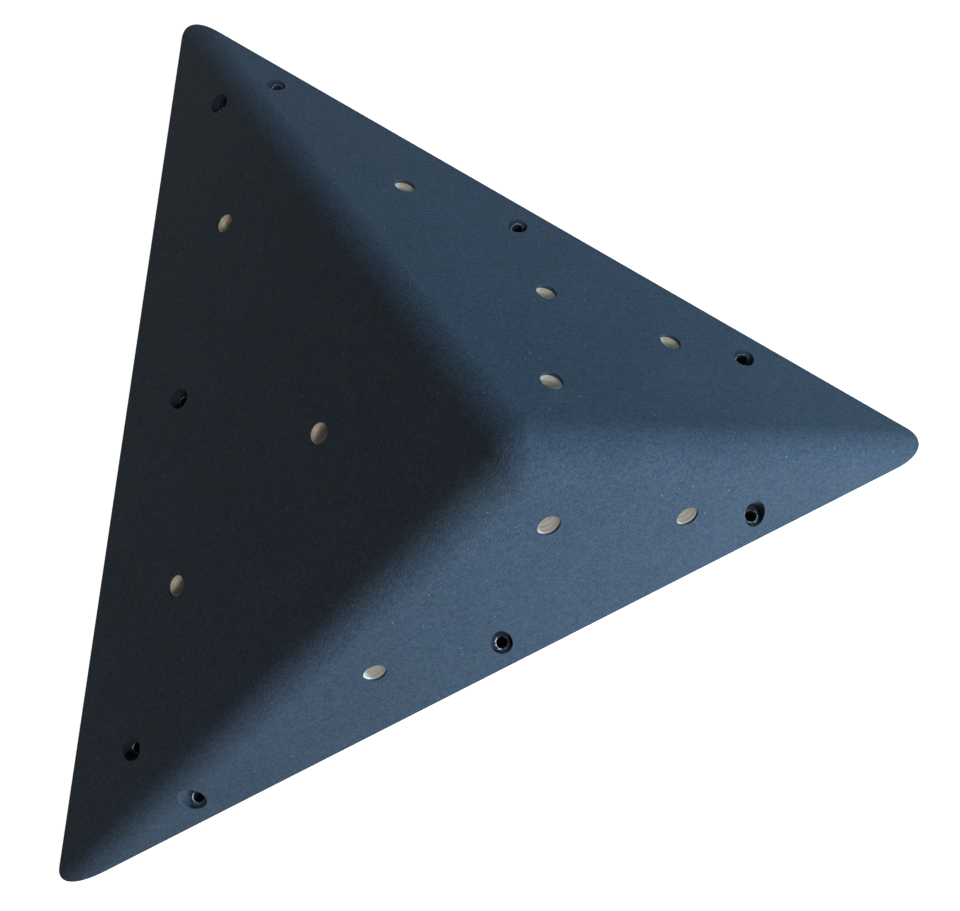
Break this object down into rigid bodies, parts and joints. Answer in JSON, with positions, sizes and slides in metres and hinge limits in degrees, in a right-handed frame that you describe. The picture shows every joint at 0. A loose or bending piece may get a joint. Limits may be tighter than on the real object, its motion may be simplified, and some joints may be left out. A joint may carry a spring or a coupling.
{
  "type": "climbing volume",
  "caption": "Low three-sided plywood pyramid with an off-centre peak, rounded ridges and a dark grip coat; it screws to a climbing wall and takes bolt-on holds",
  "frame": {"origin": "on the wall plane, under the middle of the outline", "axes": "+Z points out of the wall towards the climber; +Y runs up along the straight left edge as pictured; +X runs from that edge to the opposite corner"},
  "size_m": [0.4634, 0.5308, 0.1078],
  "materials": {
    "grip_coat": "satin, fine grit",
    "birch_plywood": "sanded, bare",
    "pine_strip": "planed, bare",
    "zinc_steel": "bright zinc plated",
    "yellow_zinc_screw": "yellow zinc plated"
  },
  "bodies": {
    "root": {"grip_coat": "grip_coat", "left_panel": "birch_plywood", "upper_panel": "birch_plywood", "lower_panel": "birch_plywood", "top_glue_strip": "pine_strip", "right_glue_strip": "pine_strip", "bottom_glue_strip": "pine_strip", "left_t_nut_1": "zinc_steel", "left_t_nut_1_screw_1": "yellow_zinc_screw", "left_t_nut_1_screw_2": "yellow_zinc_screw", "left_t_nut_1_screw_3": "yellow_zinc_screw", "left_t_nut_2": "zinc_steel", "left_t_nut_2_screw_1": "yellow_zinc_screw", "left_t_nut_2_screw_2": "yellow_zinc_screw", "left_t_nut_2_screw_3": "yellow_zinc_screw", "left_t_nut_3": "zinc_steel", "left_t_nut_3_screw_1": "yellow_zinc_screw", "left_t_nut_3_screw_2": "yellow_zinc_screw", "left_t_nut_3_screw_3": "yellow_zinc_screw", "upper_t_nut_1": "zinc_steel", "upper_t_nut_1_screw_1": "yellow_zinc_screw", "upper_t_nut_1_screw_2": "yellow_zinc_screw", "upper_t_nut_1_screw_3": "yellow_zinc_screw", "upper_t_nut_2": "zinc_steel", "upper_t_nut_2_screw_1": "yellow_zinc_screw", "upper_t_nut_2_screw_2": "yellow_zinc_screw", "upper_t_nut_2_screw_3": "yellow_zinc_screw", "upper_t_nut_3": "zinc_steel", "upper_t_nut_3_screw_1": "yellow_zinc_screw", "upper_t_nut_3_screw_2": "yellow_zinc_screw", "upper_t_nut_3_screw_3": "yellow_zinc_screw", "upper_t_nut_4": "zinc_steel", "upper_t_nut_4_screw_1": "yellow_zinc_screw", "upper_t_nut_4_screw_2": "yellow_zinc_screw", "upper_t_nut_4_screw_3": "yellow_zinc_screw", "lower_t_nut_1": "zinc_steel", "lower_t_nut_1_screw_1": "yellow_zinc_screw", "lower_t_nut_1_screw_2": "yellow_zinc_screw", "lower_t_nut_1_screw_3": "yellow_zinc_screw", "lower_t_nut_2": "zinc_steel", "lower_t_nut_2_screw_1": "yellow_zinc_screw", "lower_t_nut_2_screw_2": "yellow_zinc_screw", "lower_t_nut_2_screw_3": "yellow_zinc_screw", "lower_t_nut_3": "zinc_steel", "lower_t_nut_3_screw_1": "yellow_zinc_screw", "lower_t_nut_3_screw_2": "yellow_zinc_screw", "lower_t_nut_3_screw_3": "yellow_zinc_screw"}
  },
  "joints": []
}
